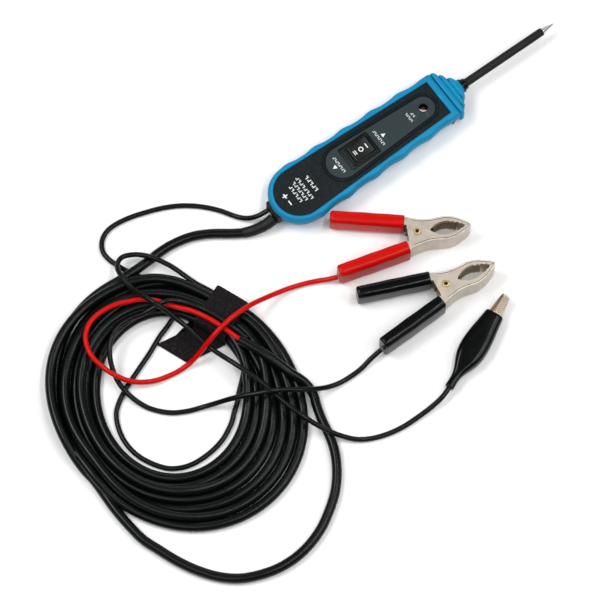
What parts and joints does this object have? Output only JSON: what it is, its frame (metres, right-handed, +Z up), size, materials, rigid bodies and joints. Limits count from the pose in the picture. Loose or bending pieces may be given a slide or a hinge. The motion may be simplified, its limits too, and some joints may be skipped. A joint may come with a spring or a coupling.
{
  "type": "circuit test light",
  "caption": "Hand-held circuit test light: rubber-clad body with a rocker and a lamp, a pointed probe, a tied supply cable with battery clips and a ground lead with an alligator clip.",
  "frame": {"origin": "under the middle of the tester's body and probe, on the surface that its back lies on", "axes": "+X along the probe towards its tip, +Y across the tester to its left seen from above with the probe pointing away, +Z up out of the face that carries the rocker"},
  "size_m": [0.4587, 0.2731, 0.0255],
  "materials": {
    "blue_rubber": "satin moulded rubber",
    "charcoal_plastic": "fine matt texture",
    "slate_plastic": "fine matt texture",
    "black_plastic": "satin",
    "steel": "plated, satin",
    "nickel_plate": "warm nickel plate on pressed steel",
    "brass": "dull",
    "resistor_body": "lacquered",
    "lens": "tinted, glossy",
    "board": "lacquered board",
    "cable_black": "soft satin jacket",
    "red_pvc": "soft glossy vinyl",
    "black_pvc": "soft glossy vinyl",
    "strap_weave": "woven hook-and-loop tape"
  },
  "bodies": {
    "tester": {"grip": "blue_rubber", "front_cover": "charcoal_plastic", "rear_cover": "charcoal_plastic", "face_plate": "slate_plastic", "case_screw_1": "steel", "case_screw_2": "steel", "case_screw_3": "steel", "case_screw_4": "steel", "switch_body": "black_plastic", "switch_terminal_1": "brass", "switch_terminal_2": "brass", "switch_terminal_3": "brass", "led_lens": "lens", "led_holder": "black_plastic", "circuit_board": "board", "limit_resistor_1": "resistor_body", "limit_resistor_2": "resistor_body", "nose_cap": "blue_rubber", "probe_collar": "black_plastic", "probe_insulation": "cable_black", "probe_rod": "steel", "probe_terminal": "brass", "cord_grommet": "black_plastic", "cord_clamp": "charcoal_plastic", "clamp_screw_1": "steel", "clamp_screw_2": "steel", "inner_wire_red": "red_pvc", "inner_wire_black": "cable_black", "inner_wire_ground": "cable_black", "cable_coil": "cable_black", "coil_strap": "strap_weave", "main_cable_lead": "cable_black", "main_cable_loop": "cable_black", "red_lead": "red_pvc", "black_lead": "cable_black", "ground_lead_first": "cable_black", "ground_lead_inner": "cable_black", "ground_lead_last": "cable_black", "red_clip_fixed_jaw": "nickel_plate", "red_clip_fixed_sleeve": "red_pvc", "red_clip_rivet": "brass", "red_clip_spring": "steel", "black_clip_fixed_jaw": "nickel_plate", "black_clip_fixed_sleeve": "black_pvc", "black_clip_rivet": "brass", "black_clip_spring": "steel", "ground_clip_fixed_jaw": "nickel_plate", "ground_clip_pin": "brass", "ground_clip_spring": "steel", "ground_clip_screw": "brass", "ground_clip_boot": "black_pvc"},
    "rocker": {"rocker": "black_plastic", "switch_contact": "brass"},
    "red_clip_jaw": {"red_clip_moving_jaw": "nickel_plate", "red_clip_moving_sleeve": "red_pvc"},
    "black_clip_jaw": {"black_clip_moving_jaw": "nickel_plate", "black_clip_moving_sleeve": "black_pvc"},
    "ground_clip_jaw": {"ground_clip_moving_jaw": "nickel_plate"}
  },
  "joints": [
    {"name": "rocker_tilt", "type": "hinge", "parent": "tester", "child": "rocker", "pos_m": [-0.0465, 0, 0.0155], "axis": [0, 1, 0], "range_deg": [-12, 12], "stiffness_Nm_per_rad": 0.1},
    {"name": "red_clip_pivot", "type": "hinge", "parent": "tester", "child": "red_clip_jaw", "pos_m": [-0.051, -0.0716, 0.01], "axis": [0, 0, 1], "range_deg": [0, 28], "stiffness_Nm_per_rad": 0.9, "springref_deg": -28.65, "deforming": ["red_clip_spring"]},
    {"name": "black_clip_pivot", "type": "hinge", "parent": "tester", "child": "black_clip_jaw", "pos_m": [-0.058, -0.1141, 0.01], "axis": [0, 0, 1], "range_deg": [0, 28], "stiffness_Nm_per_rad": 0.9, "springref_deg": -28.65, "deforming": ["black_clip_spring"]},
    {"name": "ground_clip_pivot", "type": "hinge", "parent": "tester", "child": "ground_clip_jaw", "pos_m": [-0.04595, -0.15041, 0.0062], "axis": [0, 0, 1], "range_deg": [0, 12], "stiffness_Nm_per_rad": 0.3, "springref_deg": -28.65, "deforming": ["ground_clip_spring"]}
  ]
}
